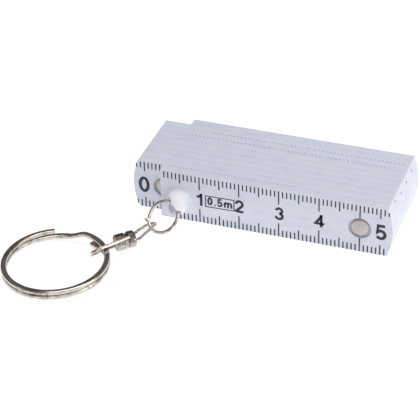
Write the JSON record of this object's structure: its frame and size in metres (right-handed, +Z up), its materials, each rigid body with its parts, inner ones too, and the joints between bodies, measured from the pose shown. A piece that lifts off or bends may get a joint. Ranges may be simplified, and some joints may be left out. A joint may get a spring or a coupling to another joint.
{
  "type": "folding rule",
  "caption": "Pocket folding rule of white plastic segments with riveted joints, folded up, with a swivel and a split key ring on a moulded lug.",
  "frame": {"origin": "on the bottom edge of the front segment, halfway between its zero mark and its five-centimetre mark", "axes": "+X along the segments towards the five-centimetre pivots, +Y from the front segment to the back one along the pivots, +Z up"},
  "size_m": [0.0868, 0.0657, 0.0134],
  "materials": {
    "white_plastic": "semi-gloss moulded white with printed black scale",
    "rivet_metal": "flat nickel-plated rivet head",
    "nickel_wire": "polished nickel plate",
    "swivel_nickel": "polished nickel plate",
    "spring_steel": "plain spring steel"
  },
  "bodies": {
    "rule_01": {"segment_01": "white_plastic", "rivet_01": "rivet_metal", "spring_washer_01": "spring_steel"},
    "rule_02": {"segment_02": "white_plastic", "rivet_02": "rivet_metal", "spring_washer_02": "spring_steel"},
    "rule_03": {"segment_03": "white_plastic", "rivet_03": "rivet_metal", "spring_washer_03": "spring_steel"},
    "rule_04": {"segment_04": "white_plastic", "rivet_04": "rivet_metal", "spring_washer_04": "spring_steel"},
    "rule_05": {"segment_05": "white_plastic", "rivet_05": "rivet_metal", "spring_washer_05": "spring_steel"},
    "rule_06": {"segment_06": "white_plastic", "rivet_06": "rivet_metal", "spring_washer_06": "spring_steel"},
    "rule_07": {"segment_07": "white_plastic", "rivet_07": "rivet_metal", "spring_washer_07": "spring_steel"},
    "rule_08": {"segment_08": "white_plastic", "rivet_08": "rivet_metal", "spring_washer_08": "spring_steel"},
    "rule_09": {"segment_09": "white_plastic", "rivet_09": "rivet_metal", "spring_washer_09": "spring_steel"},
    "rule_10": {"segment_10": "white_plastic"},
    "jump_ring_body": {"jump_ring": "nickel_wire"},
    "swivel_head_body": {"swivel_head": "swivel_nickel", "ring_link": "nickel_wire", "stem_collar": "spring_steel"},
    "swivel_barrel_body": {"swivel_barrel": "swivel_nickel", "barrel_cap": "swivel_nickel"},
    "key_link_body": {"key_link": "nickel_wire"},
    "split_ring_body": {"split_ring": "nickel_wire"}
  },
  "joints": [
    {"name": "rule_hinge_01", "type": "hinge", "parent": "rule_01", "child": "rule_02", "pos_m": [0.025, 0.00123, 0.00665], "axis": [0, 1, 0], "range_deg": [-180, 180]},
    {"name": "rule_hinge_02", "type": "hinge", "parent": "rule_02", "child": "rule_03", "pos_m": [-0.025, 0.00369, 0.00665], "axis": [0, -1, 0], "range_deg": [-180, 180]},
    {"name": "rule_hinge_03", "type": "hinge", "parent": "rule_03", "child": "rule_04", "pos_m": [0.025, 0.00615, 0.00665], "axis": [0, 1, 0], "range_deg": [-180, 180]},
    {"name": "rule_hinge_04", "type": "hinge", "parent": "rule_04", "child": "rule_05", "pos_m": [-0.025, 0.00861, 0.00665], "axis": [0, -1, 0], "range_deg": [-180, 180]},
    {"name": "rule_hinge_05", "type": "hinge", "parent": "rule_05", "child": "rule_06", "pos_m": [0.025, 0.01107, 0.00665], "axis": [0, 1, 0], "range_deg": [-180, 180]},
    {"name": "rule_hinge_06", "type": "hinge", "parent": "rule_06", "child": "rule_07", "pos_m": [-0.025, 0.01353, 0.00665], "axis": [0, -1, 0], "range_deg": [-180, 180]},
    {"name": "rule_hinge_07", "type": "hinge", "parent": "rule_07", "child": "rule_08", "pos_m": [0.025, 0.01599, 0.00665], "axis": [0, 1, 0], "range_deg": [-180, 180]},
    {"name": "rule_hinge_08", "type": "hinge", "parent": "rule_08", "child": "rule_09", "pos_m": [-0.025, 0.01845, 0.00665], "axis": [0, -1, 0], "range_deg": [-180, 180]},
    {"name": "rule_hinge_09", "type": "hinge", "parent": "rule_09", "child": "rule_10", "pos_m": [0.025, 0.02091, 0.00665], "axis": [0, 1, 0], "range_deg": [-180, 180]},
    {"name": "lug_hinge", "type": "hinge", "parent": "rule_01", "child": "jump_ring_body", "pos_m": [-0.01997, -0.00436, 0.00574], "axis": [-0.6943, 0.658, 0.2914], "range_deg": [-20, 40]},
    {"name": "link_hinge", "type": "hinge", "parent": "jump_ring_body", "child": "swivel_head_body", "pos_m": [-0.02567, -0.00736, 0.00087], "axis": [0.5959, -0.7098, -0.3756], "range_deg": [-45, 90]},
    {"name": "swivel_spin", "type": "hinge", "parent": "swivel_head_body", "child": "swivel_barrel_body", "pos_m": [-0.02831, -0.01658, 0.00207], "axis": [0.6997, 0.7145, 0], "continuous": true},
    {"name": "key_link_hinge", "type": "hinge", "parent": "swivel_barrel_body", "child": "key_link_body", "pos_m": [-0.02879, -0.01707, 0.00207], "axis": [0.5504, -0.4028, 0.7314], "range_deg": [-90, 90]},
    {"name": "key_ring_hinge", "type": "hinge", "parent": "key_link_body", "child": "split_ring_body", "pos_m": [-0.03146, -0.02178, 0.00195], "axis": [-0.6293, 0.7771, 0], "range_deg": [-5, 120]}
  ]
}
